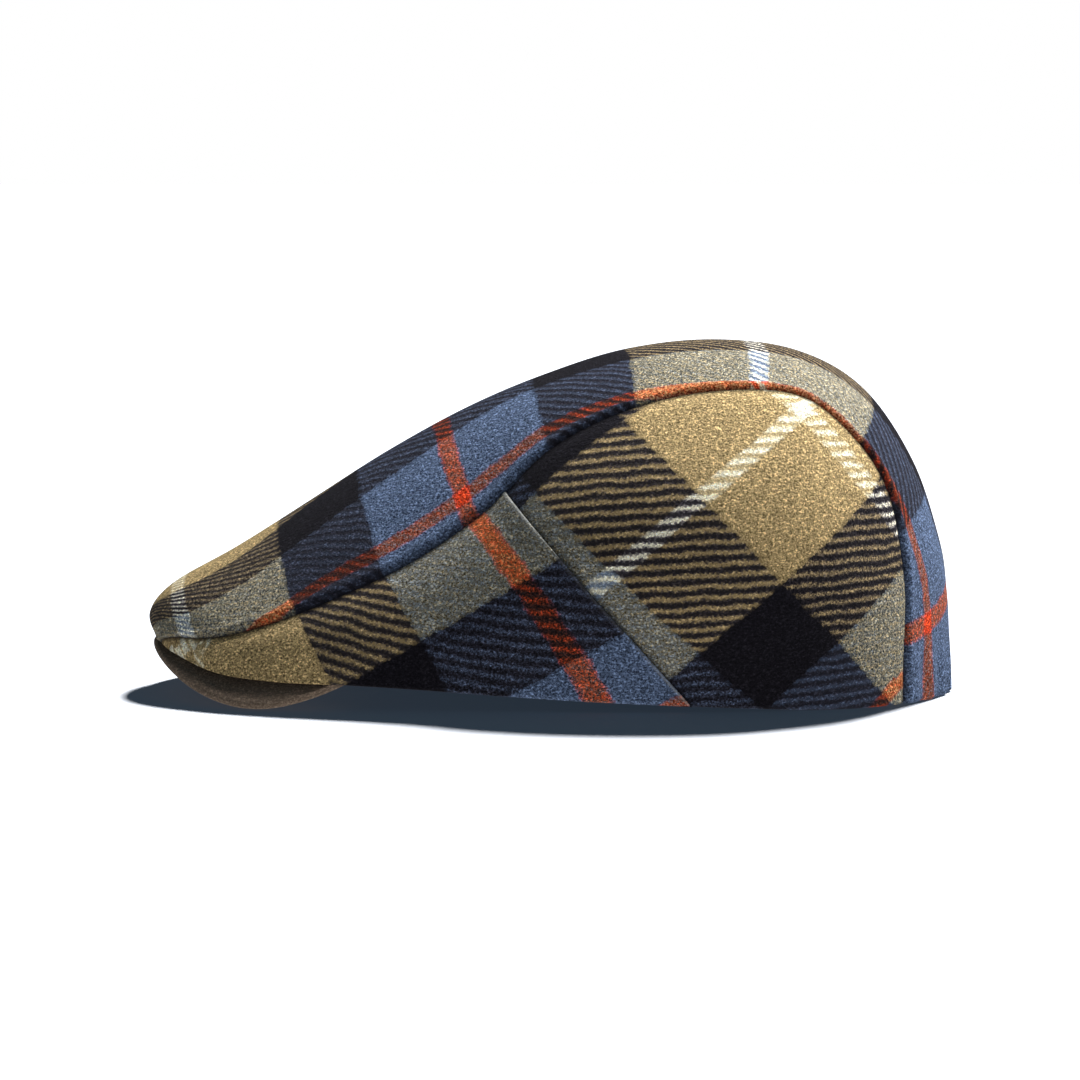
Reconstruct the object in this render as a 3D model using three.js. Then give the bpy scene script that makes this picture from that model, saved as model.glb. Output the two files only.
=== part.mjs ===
// A flat cap of brushed tartan wool, as it rests on a table.
//
// One long top panel runs from the nose, over the crown and down to the back hem. Each side has a front
// panel and a rear panel, joined by a lapped diagonal seam. A cloth-covered peak sits under the nose.
// The frame is in millimetres with +Z up: the nose points along -X, the back along +X, the table is Z = 0,
// and the cap is the same on both sides of the plane Y = 0.

import * as THREE from "three";

// ---------------------------------------------------------------- driving dimensions

const WALL = 2.2; // wool cloth with its fused backing
const GAP = 0.35; // clearance between neighbouring pieces

// Sections across the top panel, from the front edge under the nose to the back hem. The ridge is on the
// centre plane, the seam is the panel's edge on either side, and halfWidth is the seam's distance from
// that plane.
const TOP_ARC = THREE.MathUtils.degToRad(48); // half the angle of the arc that each section follows
const TOP_SECTIONS = [
  { ridgeX: -137.6, ridgeZ: 19.0, seamX: -135.6, halfWidth: 23.0, seamZ: 19.0 },
  { ridgeX: -140.0, ridgeZ: 27.6, seamX: -129.5, halfWidth: 37.0, seamZ: 21.3 },
  { ridgeX: -131.8, ridgeZ: 37.4, seamX: -113.5, halfWidth: 54.0, seamZ: 23.4 },
  { ridgeX: -110.0, ridgeZ: 49.9, seamX: -93.5, halfWidth: 62.6, seamZ: 29.4 },
  { ridgeX: -84.0, ridgeZ: 66.1, seamX: -71.0, halfWidth: 65.2, seamZ: 38.5 },
  { ridgeX: -56.0, ridgeZ: 83.7, seamX: -47.0, halfWidth: 64.6, seamZ: 50.0 },
  { ridgeX: -29.0, ridgeZ: 98.5, seamX: -22.5, halfWidth: 62.7, seamZ: 67.0 },
  { ridgeX: -2.0, ridgeZ: 109.9, seamX: 0.0, halfWidth: 61.0, seamZ: 88.3 },
  { ridgeX: 27.0, ridgeZ: 119.1, seamX: 28.0, halfWidth: 59.7, seamZ: 102.0 },
  { ridgeX: 57.0, ridgeZ: 122.4, seamX: 58.0, halfWidth: 58.0, seamZ: 107.9 },
  { ridgeX: 86.0, ridgeZ: 118.5, seamX: 85.5, halfWidth: 56.3, seamZ: 105.7 },
  { ridgeX: 109.0, ridgeZ: 105.5, seamX: 104.5, halfWidth: 55.7, seamZ: 90.3 },
  { ridgeX: 126.5, ridgeZ: 80.5, seamX: 115.5, halfWidth: 54.0, seamZ: 72.0 },
  { ridgeX: 136.0, ridgeZ: 53.0, seamX: 120.3, halfWidth: 52.3, seamZ: 49.0 },
  { ridgeX: 138.6, ridgeZ: 35.0, seamX: 121.0, halfWidth: 51.6, seamZ: 34.0 },
  { ridgeX: 139.6, ridgeZ: 17.0, seamX: 121.0, halfWidth: 51.2, seamZ: 17.0 },
  { ridgeX: 140.0, ridgeZ: 0.0, seamX: 121.0, halfWidth: 50.6, seamZ: 0.0 },
];

// Lower edge of the side panels, one row for each of the sections above as far as the rear corner: first
// the edge over the peak, then the free hem. puff is how far the cloth swells between it and the seam.
const SIDE_SECTIONS = [
  { x: -135.6, halfWidth: 23.0, z: 18.2, puff: 0.1 },
  { x: -129.4, halfWidth: 38.5, z: 16.2, puff: 0.4 },
  { x: -113.5, halfWidth: 60.0, z: 11.4, puff: 1.6 },
  { x: -92.0, halfWidth: 71.0, z: 9.4, puff: 2.4 },
  { x: -68.0, halfWidth: 75.8, z: 8.8, puff: 4.0 },
  { x: -43.0, halfWidth: 77.8, z: 7.4, puff: 6.0 },
  { x: -18.0, halfWidth: 79.0, z: 5.6, puff: 10.2 },
  { x: 8.0, halfWidth: 80.0, z: 4.0, puff: 15.2 },
  { x: 36.0, halfWidth: 80.2, z: 2.6, puff: 19.6 },
  { x: 64.0, halfWidth: 78.5, z: 1.4, puff: 21.0 },
  { x: 86.0, halfWidth: 74.3, z: 0.4, puff: 17.0 },
  { x: 103.0, halfWidth: 66.6, z: 0.0, puff: 10.0 },
  { x: 114.0, halfWidth: 58.7, z: 0.0, puff: 4.2 },
  { x: 119.0, halfWidth: 53.3, z: 0.0, puff: 1.2 },
  { x: 121.0, halfWidth: 50.6, z: 0.0, puff: 0.2 },
];
const SIDE_START = 0.12; // the side panels taper away just short of the first section

// The seam round the top panel: the cloth rolls over beside it, and both edges turn in.
const SEAM = { roll: 0.8, rollAt: 3.5, rollReach: 2.6, turnIn: 0.9, turnReach: 1.8 };

// The folded hem stands square on its foot: how far up the wall is levelled, in sections and in rise.
const FOOT = { sections: 0.5, rise: 0.08 };

// The lapped diagonal seam: the front side panel lies over the rear one.
const LAP = {
  top: { x: -15.5, z: 73.5 }, // ends of the folded edge as seen from the side
  bottom: { x: 47.5, z: 2.0 },
  under: 5, // how far the rear panel runs on under the fold
  rise: 0.9, // how far the folded edge stands proud
  thinnest: 1.3, // cloth thickness at the folded edge
  dip: 0.7, // how far the rear panel is pressed in beside it
  slant: 0.34, // how steeply the rear panel goes under the fold
  reach: 8, // distance over which the fold levels out
};

// The peak is a board between two layers of cloth. Its underside is an arch that climbs to the rear.
const PEAK = {
  thickness: 3.0,
  archRadius: 111,
  height: 26.2, // of the underside on the centre plane, at heightX
  heightX: -88,
  climb: 0.215,
  rim: { centreX: -90, length: 48.2, halfWidth: 74, sweep: THREE.MathUtils.degToRad(115) },
  inner: { centreX: -66, length: 22, halfWidth: 63, sweep: THREE.MathUtils.degToRad(90) },
};

// Facets along and across each piece, and how strongly they crowd towards the edges.
const FACETS = { top: [48, 16], sideFront: [22, 10], sideRear: [24, 12], peak: [36, 5] };
const CROWDING = 1.4;

// ---------------------------------------------------------------- curves through the tables

const { lerp, clamp } = THREE.MathUtils;
const BACK_HEM = TOP_SECTIONS.length - 1;
const REAR_CORNER = SIDE_SECTIONS.length - 1;
const TINY = 0.01; // step for slopes, in sections or in shares of a panel
const ARC_TO_CHORD = TOP_ARC / 2 / Math.sin(TOP_ARC / 2); // length of half a section over its chord

const smooth = (share) => THREE.MathUtils.smoothstep(share, 0, 1);
const bell = (distance, reach) => Math.exp(-((distance / reach) ** 2));
const crowded = (share) => {
  const fromMiddle = 2 * share - 1;
  return 0.5 + 0.5 * Math.sign(fromMiddle) * (1 - (1 - Math.abs(fromMiddle)) ** CROWDING);
};

// The value of one column at a fractional row, on a uniform Catmull-Rom spline.
function along(rows, name, t) {
  const last = rows.length - 1;
  const i = clamp(Math.floor(t), 0, last - 1);
  const f = t - i;
  const b = rows[i][name];
  const c = rows[i + 1][name];
  const a = i > 0 ? rows[i - 1][name] : 2 * b - c;
  const d = i + 1 < last ? rows[i + 2][name] : 2 * c - b;
  return b + 0.5 * f * (c - a + f * (2 * a - 5 * b + 4 * c - d + f * (3 * (b - c) + d - a)));
}

// Where a rising function reaches the target, between low and high.
function solve(rising, target, low, high) {
  for (let halvings = 0; halvings < 30; halvings++) {
    const middle = (low + high) / 2;
    if (rising(middle) < target) low = middle;
    else high = middle;
  }
  return (low + high) / 2;
}

// ---------------------------------------------------------------- the plain surfaces

// Top panel: t counts sections from the nose, and across runs from -1 at the near seam to 1 at the far one.
function topPoint(t, across) {
  const angle = across * TOP_ARC;
  const fall = (1 - Math.cos(angle)) / (1 - Math.cos(TOP_ARC));
  return new THREE.Vector3(
    lerp(along(TOP_SECTIONS, "ridgeX", t), along(TOP_SECTIONS, "seamX", t), fall),
    (along(TOP_SECTIONS, "halfWidth", t) * Math.sin(angle)) / Math.sin(TOP_ARC),
    lerp(along(TOP_SECTIONS, "ridgeZ", t), along(TOP_SECTIONS, "seamZ", t), fall),
  );
}

// Near side, between the lower edge at rise 0 and the seam at rise 1.
function sidePoint(t, rise) {
  const puff = 4 * rise * (1 - rise) * along(SIDE_SECTIONS, "puff", t);
  const edge = along(SIDE_SECTIONS, "halfWidth", t);
  return new THREE.Vector3(
    lerp(along(SIDE_SECTIONS, "x", t), along(TOP_SECTIONS, "seamX", t), rise),
    -lerp(edge, along(TOP_SECTIONS, "halfWidth", t), rise) - puff,
    lerp(Math.max(along(SIDE_SECTIONS, "z", t), 0), along(TOP_SECTIONS, "seamZ", t), rise),
  );
}

// Outward unit normal of a surface, from its slopes along both parameters.
function normalOf(surface, a, b) {
  const alongA = surface(a + TINY, b).sub(surface(a - TINY, b));
  const alongB = surface(a, b + TINY).sub(surface(a, b - TINY));
  return alongA.cross(alongB).normalize();
}
const topNormal = (t, across) => normalOf(topPoint, clamp(t, TINY, BACK_HEM - TINY), across);
const sideNormal = (t, rise) => normalOf(sidePoint, clamp(t, TINY, REAR_CORNER - TINY), rise);

// At the near seam: out is the direction in which both panels turn in, shared so that their edges meet
// squarely, and inward points along the cloth to the top panel's middle.
function seamDirections(t) {
  const rise = along(TOP_SECTIONS, "seamZ", t) / along(TOP_SECTIONS, "seamZ", REAR_CORNER);
  const side = t < REAR_CORNER ? sideNormal(t, 1) : sideNormal(REAR_CORNER, rise);
  const out = topNormal(t, -1).add(side).normalize();
  const inward = out.clone().cross(topPoint(t + TINY, -1).sub(topPoint(t - TINY, -1))).normalize();
  return { out, inward };
}

// The foot of the hem is level, so the wall there is offset sideways only.
const levelled = (normal, share) => new THREE.Vector3(normal.x, normal.y, normal.z * (1 - share)).normalize();

// ---------------------------------------------------------------- turning surfaces into solids

// A closed wall between an outer and an inner face, each a function of a row and a column.
function wallGeometry(rows, columns, outer, inner) {
  const positions = [];
  for (const face of [outer, inner])
    for (let i = 0; i <= rows; i++) for (let j = 0; j <= columns; j++) positions.push(...face(i, j));
  const faceSize = (rows + 1) * (columns + 1);
  const out = (i, j) => i * (columns + 1) + j;
  const inn = (i, j) => faceSize + out(i, j);
  const index = [];
  const quad = (a, b, c, d) => index.push(a, b, c, a, c, d);
  for (let i = 0; i < rows; i++) {
    for (let j = 0; j < columns; j++) {
      quad(out(i, j), out(i + 1, j), out(i + 1, j + 1), out(i, j + 1));
      quad(inn(i, j), inn(i, j + 1), inn(i + 1, j + 1), inn(i + 1, j));
    }
    quad(out(i, 0), inn(i, 0), inn(i + 1, 0), out(i + 1, 0));
    quad(out(i, columns), out(i + 1, columns), inn(i + 1, columns), inn(i, columns));
  }
  for (let j = 0; j < columns; j++) {
    quad(out(0, j), out(0, j + 1), inn(0, j + 1), inn(0, j));
    quad(out(rows, j), inn(rows, j), inn(rows, j + 1), out(rows, j + 1));
  }
  const geometry = new THREE.BufferGeometry();
  geometry.setAttribute("position", new THREE.Float32BufferAttribute(positions, 3));
  geometry.setIndex(index);
  geometry.computeVertexNormals();
  return geometry;
}

// The same wall on the far side of the cap.
function mirrored(geometry) {
  const copy = geometry.clone().scale(1, -1, 1);
  const index = copy.getIndex();
  for (let i = 0; i < index.count; i += 3) {
    const second = index.getX(i + 1);
    index.setX(i + 1, index.getX(i + 2));
    index.setX(i + 2, second);
  }
  copy.computeVertexNormals();
  return copy;
}

// ---------------------------------------------------------------- the pieces

function topPanel() {
  const [rows, columns] = FACETS.top;
  const face = (depth) => (i, j) => {
    const t = (i / rows) * BACK_HEM;
    const across = 2 * crowded(j / columns) - 1;
    const halfLength = topPoint(t, 0).distanceTo(topPoint(t, 1)) * ARC_TO_CHORD;
    const toSeam = halfLength * (1 - Math.abs(across));
    const { out: seamOut, inward } = seamDirections(t);
    if (across > 0) for (const direction of [seamOut, inward]) direction.y *= -1;
    const normal = topNormal(t, across).lerp(seamOut, bell(toSeam, SEAM.rollAt)).normalize();
    const roll = SEAM.roll * bell(toSeam - SEAM.rollAt, SEAM.rollReach);
    const turnIn = SEAM.turnIn * bell(toSeam, SEAM.turnReach);
    const out = levelled(normal, smooth(1 - (BACK_HEM - t) / FOOT.sections));
    return topPoint(t, across)
      .addScaledVector(inward, GAP * bell(toSeam, GAP))
      .addScaledVector(out, roll - turnIn - depth);
  };
  return wallGeometry(rows, columns, face(0), face(WALL));
}

// A point of a side panel, lifted off the plain surface, with the seams' edges turned in.
function sideWallPoint(t, rise, lift) {
  const point = sidePoint(t, rise);
  const toSeam = point.distanceTo(sidePoint(t, 1));
  const toRear = point.distanceTo(sidePoint(REAR_CORNER, rise));
  const rearRow = solve((row) => -along(TOP_SECTIONS, "seamZ", row), -point.z, REAR_CORNER, BACK_HEM);
  const { out: seamOut } = seamDirections(toSeam < toRear ? t : rearRow);
  const distance = Math.min(toSeam, toRear);
  const normal = sideNormal(t, rise).lerp(seamOut, bell(distance, SEAM.rollAt)).normalize();
  const turnIn = SEAM.turnIn * bell(distance, 2 * SEAM.turnReach);
  return point.addScaledVector(levelled(normal, smooth(1 - rise / FOOT.rise)), lift - turnIn);
}

// Where the folded edge of the lap crosses the side, at a given share of its height.
function lapAt(rise) {
  const slope = (LAP.bottom.x - LAP.top.x) / (LAP.top.z - LAP.bottom.z);
  const pastFold = (t) => {
    const point = sidePoint(t, rise);
    return point.x - LAP.top.x - slope * (LAP.top.z - point.z);
  };
  return solve(pastFold, 0, SIDE_START, REAR_CORNER - 1);
}

function sideFront() {
  const [rows, columns] = FACETS.sideFront;
  const face = (side) => (i, j) => {
    const rise = crowded(j / columns);
    const fold = lapAt(rise);
    const t = lerp(SIDE_START, fold, crowded(i / rows));
    const toFold = sidePoint(t, rise).distanceTo(sidePoint(fold, rise));
    const level = smooth(toFold / LAP.reach);
    const lift = LAP.rise * (1 - level);
    const thickness = lerp(LAP.thinnest, WALL, level);
    return sideWallPoint(t, rise, lift - side * thickness);
  };
  return wallGeometry(rows, columns, face(0), face(1));
}

function sideRear() {
  const [rows, columns] = FACETS.sideRear;
  const face = (side) => (i, j) => {
    const rise = crowded(j / columns);
    const fold = lapAt(rise);
    const foldPoint = sidePoint(fold, rise);
    const start = fold - LAP.under / foldPoint.distanceTo(sidePoint(fold + 1, rise));
    const t = lerp(start, REAR_CORNER, crowded(i / rows));
    const fromFold = Math.sign(t - fold) * sidePoint(t, rise).distanceTo(foldPoint);
    const lift = fromFold > 0 ? -LAP.dip * smooth(1 - fromFold / LAP.reach) : LAP.slant * fromFold - LAP.dip;
    return sideWallPoint(t, rise, lift - side * WALL);
  };
  return wallGeometry(rows, columns, face(0), face(1));
}

// Underside of the peak: share runs from -1 at the near corner to 1 at the far one, and depth from 0 at the
// rim to 1 at the edge of the head opening.
function peakPoint(share, depth) {
  const onEllipse = ({ centreX, length, halfWidth, sweep }) => [
    centreX - length * Math.cos(share * sweep),
    halfWidth * Math.sin(share * sweep),
  ];
  const [rimX, rimY] = onEllipse(PEAK.rim);
  const [innerX, innerY] = onEllipse(PEAK.inner);
  const x = lerp(rimX, innerX, depth);
  const y = lerp(rimY, innerY, depth);
  const ridge = PEAK.height + PEAK.climb * (x - PEAK.heightX);
  return new THREE.Vector3(x, y, ridge - y ** 2 / (2 * PEAK.archRadius));
}

function peak() {
  const [rows, columns] = FACETS.peak;
  const face = (thickness) => (i, j) => {
    const share = (2 * i) / rows - 1;
    const depth = j / columns;
    return peakPoint(share, depth).addScaledVector(normalOf(peakPoint, share, depth), -thickness);
  };
  return wallGeometry(rows, columns, face(0), face(PEAK.thickness));
}

// ---------------------------------------------------------------- materials and assembly

const tartan = (color) => new THREE.MeshStandardMaterial({ color, roughness: 0.95, metalness: 0 });
const blueTartan = tartan(0x4a5670);
const oliveTartan = tartan(0x6b6a58);
const camelTartan = tartan(0x8a7850);
const peakTartan = tartan(0x6a5a44);

function piece(name, geometry, material) {
  const mesh = new THREE.Mesh(geometry, material);
  mesh.name = name;
  return mesh;
}

const sideFrontNear = sideFront();
const sideRearNear = sideRear();

const cap = new THREE.Group();
cap.add(piece("top_panel", topPanel(), blueTartan));
cap.add(piece("side_front_near", sideFrontNear, oliveTartan));
cap.add(piece("side_front_far", mirrored(sideFrontNear), oliveTartan));
cap.add(piece("side_rear_near", sideRearNear, camelTartan));
cap.add(piece("side_rear_far", mirrored(sideRearNear), camelTartan));
cap.add(piece("peak", peak(), peakTartan));

export default cap;
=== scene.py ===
"""Looks of a flat cap of brushed tartan wool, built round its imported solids.

Every panel is a surface worked out with numpy. The cap's sections are splines through short tables in
millimetres. Rolled seams, folds and gathers are offsets along the surface's normal. Each panel is laid out
flat to count the tartan's threads across it, and the counts go to the material as a mesh attribute.
Meshes are in metres, +Z up, with the nose towards -X, the back towards +X, the camera's side towards -Y
and the table at Z = 0.
"""

import math

import bpy
import numpy as np
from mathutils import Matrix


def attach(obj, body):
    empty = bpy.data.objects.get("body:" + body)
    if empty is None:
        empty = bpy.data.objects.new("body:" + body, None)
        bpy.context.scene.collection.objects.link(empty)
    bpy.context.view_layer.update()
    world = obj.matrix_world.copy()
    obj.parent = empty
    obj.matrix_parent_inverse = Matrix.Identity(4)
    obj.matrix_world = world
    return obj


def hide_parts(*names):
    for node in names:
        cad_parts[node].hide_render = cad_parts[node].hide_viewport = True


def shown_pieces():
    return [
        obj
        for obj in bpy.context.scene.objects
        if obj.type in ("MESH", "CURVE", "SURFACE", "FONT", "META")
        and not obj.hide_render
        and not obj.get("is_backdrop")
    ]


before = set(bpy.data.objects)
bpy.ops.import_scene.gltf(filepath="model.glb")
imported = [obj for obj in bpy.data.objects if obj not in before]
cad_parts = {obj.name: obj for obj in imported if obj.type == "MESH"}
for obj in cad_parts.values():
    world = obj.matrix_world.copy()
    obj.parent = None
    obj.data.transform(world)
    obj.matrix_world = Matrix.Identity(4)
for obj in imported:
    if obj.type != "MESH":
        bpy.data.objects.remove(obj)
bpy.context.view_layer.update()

# -------------------------------- sizes, in millimetres

METRES = 0.001  # in a millimetre
WALL = 2.2  # cloth with its fused backing
GAP = 0.35  # clearance between neighbouring pieces
HEM_ROUND = 1.0  # radius of the folded edges at the hem and the front


def columns(names, *rows):
    """A table with named columns, as one array for each column."""
    return dict(zip(names.split(), np.array(rows, float).T))


# Sections across the top panel, from the front edge under the nose to the back hem. A section's number,
# and the fractions between sections, are called t below.
TOP = columns(
    "ridge_x ridge_z seam_x half_width seam_z",
    (-137.6, 19.0, -135.6, 23.0, 19.0),
    (-140.0, 27.6, -129.5, 37.0, 21.3),
    (-131.8, 37.4, -113.5, 54.0, 23.4),
    (-110.0, 49.9, -93.5, 62.6, 29.4),
    (-84.0, 66.1, -71.0, 65.2, 38.5),
    (-56.0, 83.7, -47.0, 64.6, 50.0),
    (-29.0, 98.5, -22.5, 62.7, 67.0),
    (-2.0, 109.9, 0.0, 61.0, 88.3),
    (27.0, 119.1, 28.0, 59.7, 102.0),
    (57.0, 122.4, 58.0, 58.0, 107.9),
    (86.0, 118.5, 85.5, 56.3, 105.7),
    (109.0, 105.5, 104.5, 55.7, 90.3),
    (126.5, 80.5, 115.5, 54.0, 72.0),
    (136.0, 53.0, 120.3, 52.3, 49.0),
    (138.6, 35.0, 121.0, 51.6, 34.0),
    (139.6, 17.0, 121.0, 51.2, 17.0),
    (140.0, 0.0, 121.0, 50.6, 0.0),
)
TOP_ARC = math.radians(48)  # half the angle of the arc that each section follows

# Lower edge of the side panels, a row for each section above as far as the rear corner.
SIDE = columns(
    "x half_width z puff",
    (-135.6, 23.0, 18.2, 0.1),
    (-129.4, 38.5, 16.2, 0.4),
    (-113.5, 60.0, 11.4, 1.6),
    (-92.0, 71.0, 9.4, 2.4),
    (-68.0, 75.8, 8.8, 4.0),
    (-43.0, 77.8, 7.4, 6.0),
    (-18.0, 79.0, 5.6, 10.2),
    (8.0, 80.0, 4.0, 15.2),
    (36.0, 80.2, 2.6, 19.6),
    (64.0, 78.5, 1.4, 21.0),
    (86.0, 74.3, 0.4, 17.0),
    (103.0, 66.6, 0.0, 10.0),
    (114.0, 58.7, 0.0, 4.2),
    (119.0, 53.3, 0.0, 1.2),
    (121.0, 50.6, 0.0, 0.2),
)
PUFF_SKEW = 1.3  # the sides swell most a little above the middle
SIDE_START = 0.12  # the side panels taper away just short of the first section
BACK_HEM = len(TOP["ridge_x"]) - 1
REAR_CORNER = len(SIDE["x"]) - 1
FRONT_STEP, HEM_STEP = 9.0, 17.0  # length along the ridge of the first section and of the last one
FRONT_HEIGHT, REAR_HEIGHT = 40.0, 80.0  # rough heights of the front and the rear side panels

# The seam round the top panel: its edge rolls over the side panels, with a groove between them.
ROLL, ROLL_AT, ROLL_REACH = 0.75, 3.0, 2.2  # height, distance from the seam, reach
TURN_IN, TURN_REACH = 1.5, 1.5  # how deep the top panel's edge turns in, and over what distance
SIDE_TURN_IN, SIDE_TURN_REACH = 0.9, 3.6
PUCKER, PUCKER_LENGTH = 0.35, 16  # share by which the roll's height wavers, and the waves' length
TOP_GROOVE_SHADE, SIDE_GROOVE_SHADE = 1.3, 1.1  # how far from the seam the painted shade of the groove reaches

# The cloth is never quite even: height and length of its slow waves, and the distance from a seam over
# which they grow. The side panels' waves fade out over a part of their height above the hem.
TOP_EASE, TOP_EASE_LENGTH, TOP_EASE_FADE = 0.35, 55, 12
SIDE_EASE, SIDE_EASE_LENGTH, SIDE_EASE_FADE = 0.45, 48, 10
SIDE_EASE_PARTS = 6  # this part is a sixth

# Gathers above the back hem: height, number of half waves each side of the middle, how far they wander
# and how slowly. They start below a height and grow over the next millimetres, behind a section only.
GATHER, GATHER_WAVES, GATHER_WANDER, GATHER_LENGTH = 0.8, 9, 0.6, 30
GATHER_TOP, GATHER_RISE, GATHER_SECTION, GATHER_FADE = 30.0, 28.0, 12, 8
INNER_LIFT = 0.4  # the inside follows the lift no further than this

FOOT_SECTIONS, FOOT_RISE = 0.5, 0.08  # how far up the folded hem stands square on the table

# The lapped diagonal seam: the front side panel lies over the rear one.
LAP_TOP = (-15.5, 73.5)  # ends of the folded edge as seen from the side, as x and z
LAP_BOTTOM = (47.5, 2.0)
LAP_UNDER = 5.0  # how far the rear panel runs on under the fold
LAP_RISE, LAP_THINNEST = 0.6, 1.3  # how far the folded edge stands proud, and the cloth there
LAP_DIP, LAP_SLANT, LAP_REACH = 0.5, 0.34, 8.0  # the rear panel pressed in beside and under the fold
LAP_GROOVE, LAP_FOLD_SHADE = 1.6, 0.8  # reach and depth of the painted shade beside the fold

# The fold's crest is paled by a painted highlight: its distance from the edge and its reach, then how
# strongly it is painted all along, how much more towards the top and the foot, and the heights where those
# begin.
CREST_AT, CREST_REACH = 0.5, 0.7
CREST_ALONG, CREST_TOP, CREST_FOOT = 0.15, 0.85, 0.5
CREST_TOP_FROM, CREST_FOOT_FROM, CREST_FADE = 0.6, 0.25, 0.2

# The peak: a board between two layers of cloth, on an arch that climbs to the rear.
PEAK_THICKNESS, PEAK_ARCH = 3.0, 111.0  # the arch is its radius
PEAK_HEIGHT, PEAK_HEIGHT_X, PEAK_CLIMB = 26.2, -88.0, 0.215  # height at one x, and the slope from there
PEAK_DROOP = 0.005  # how the climb slackens behind the widest part, by the distance squared
PEAK_RIM = (-90.0, 48.2, 74.0, math.radians(115))  # ellipse: centre x, length, half width, sweep
PEAK_INNER = (-66.0, 22.0, 63.0, math.radians(90))
PEAK_HALF_RIM = 100.0  # rough length of the rim from its middle to a corner

TINY = 0.01  # step for slopes, in sections or in shares of a panel

# Points along and across each mesh, and how much closer they lie towards the edges.
TOP_MESH, FRONT_MESH, REAR_MESH, PEAK_MESH = (290, 141), (240, 130), (230, 150), (260, 60)
CROWDING, PEAK_CROWDING = 1.6, 2.2

# -------------------------------- how the cloth lies

# How the cloth was laid on each panel's pattern: for a system of threads, the count at the flat panel's
# origin, threads in a decimetre, the direction across them in degrees, and how steaming bent them.
TOP_CROSS, FRONT_CROSS, FRONT_LONG, REAR_CROSS, REAR_LONG = range(5)
GRAIN = columns(
    "start density angle stretch fan bow",
    (-24.5, 83, -5, -2, 5, 8.5),
    (74.0, 59, 25, -13, 10, 14),
    (66.3, 85, -59, 9, -3, 0),
    (78.0, 74, 47, -5, -8, -8),
    (19.5, 77, -49, 5, 6, -1),
)
HALF_REPEAT = 84.0  # threads from the middle of a white line to the middle of an orange one

# How far brushing softened the twill on the nose, the section where that ends and how many it fades over.
TOP_SOFT, SIDE_SOFT, SOFT_END, SOFT_REACH = 0.3, 0.16, 5.8, 3.0

# The orange stripe along the top panel: how far it runs from the near seam, and the distance between
# lengthwise threads beside it, in millimetres, at some of the sections.
STRIPE = columns(
    "section from_seam pitch",
    (0.0, -14.0, 0.95),
    (2.2, -4.0, 0.92),
    (2.85, 0.0, 0.92),
    (3.4, 5.5, 0.95),
    (4.0, 9.0, 1.05),
    (5.0, 10.8, 1.3),
    (6.3, 11.5, 1.45),
    (7.3, 8.4, 1.25),
    (8.3, 3.6, 1.2),
    (9.2, 0.2, 1.25),
    (10.2, -1.3, 1.35),
    (11.4, -0.9, 1.3),
    (12.2, 4.4, 1.15),
    (13.0, 11.0, 1.15),
    (14.0, 14.8, 1.15),
    (16.0, 14.8, 1.15),
)
STRIPE_EASE = 0.4  # sections to either side over which the table is averaged
STRIPE_EVEN, STRIPE_EVEN_PITCH = 7.0, 1.2  # what both settle to over the far half, where the cloth lay true

# On the nose the lengthwise threads lie closer together from just inside the near seam, and wider apart
# towards the far side. Each is a share, the section with its reach, and the place across with its reach.
NOSE_CLOSER = (0.18, 4.3, 1.5, -0.7, 0.2)
NOSE_WIDER = (1.1, 3.0, 1.7, -0.35, 0.5)

# Coarse grids on which the threads are counted: rows along the panel and columns across it.
TOP_ROWS, TOP_COLUMNS = 41, 21
SIDE_ROWS, SIDE_COLUMNS = 30, 18
REAR_STEPS = 120  # steps to which the rear panel's counts are drawn out before they run on under the fold
RIDGE = TOP_COLUMNS // 2  # the column on the ridge

# The peak's cover lies inside the plain camel stripe: its middle thread, half its threads and their pitch.
CAMEL_MIDDLE, CAMEL_HALF, CAMEL_PITCH = 17, 14, 1.25


# -------------------------------- camera

def make_camera():
    """The viewpoint: the cap's near side, from a little above."""
    height_angle, distance, frame_width, sensor = math.radians(4.5), 1.8, 0.378, 36.0
    aim = np.array([-0.0035, 0.0, 0.052])
    data = bpy.data.cameras.new("camera")
    data.sensor_width = sensor
    data.lens = sensor * distance / frame_width
    data.clip_end = 20.0
    camera = bpy.data.objects.new("camera", data)
    camera.location = aim + distance * np.array([0, -math.cos(height_angle), math.sin(height_angle)])
    camera.rotation_euler = (math.pi / 2 - height_angle, 0, 0)
    bpy.context.scene.collection.objects.link(camera)
    bpy.context.scene.camera = camera


# -------------------------------- curves and the plain surfaces

def lerp(a, b, share):
    """From a at share 0 to b at share 1, in a straight line."""
    return a + (b - a) * share


def smooth(share):
    """Smoothstep: 0 below 0, 1 above 1, level at both ends."""
    share = np.clip(share, 0, 1)
    return share * share * (3 - 2 * share)


def bell(distance, reach):
    """1 at distance 0, falling off as e to the minus square of distance over reach."""
    return np.exp(-((distance / reach) ** 2))


def crowded(count, power=CROWDING):
    """Shares from 0 to 1 that lie closer together towards both ends, by a power of the distance to the
    nearer end."""
    from_middle = np.linspace(-1, 1, count)
    return 0.5 + 0.5 * np.sign(from_middle) * (1 - (1 - np.abs(from_middle)) ** power)


def spline(values, t, axis=0):
    """Catmull-Rom spline through the rows of an array, at fractional rows t, with straight ends."""
    values = np.moveaxis(np.asarray(values, float), axis, 0)
    padded = np.concatenate([2 * values[:1] - values[1:2], values, 2 * values[-1:] - values[-2:-1]])
    row = np.clip(np.floor(t).astype(int), 0, len(values) - 2)
    f = (t - row).reshape(t.shape + (1,) * (values.ndim - 1))
    a, b, c, d = (padded[row + k] for k in range(4))
    curve = b + 0.5 * f * (c - a + f * (2 * a - 5 * b + 4 * c - d + f * (3 * (b - c) + d - a)))
    return np.moveaxis(curve, 0, axis) if t.ndim == 1 else curve


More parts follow.
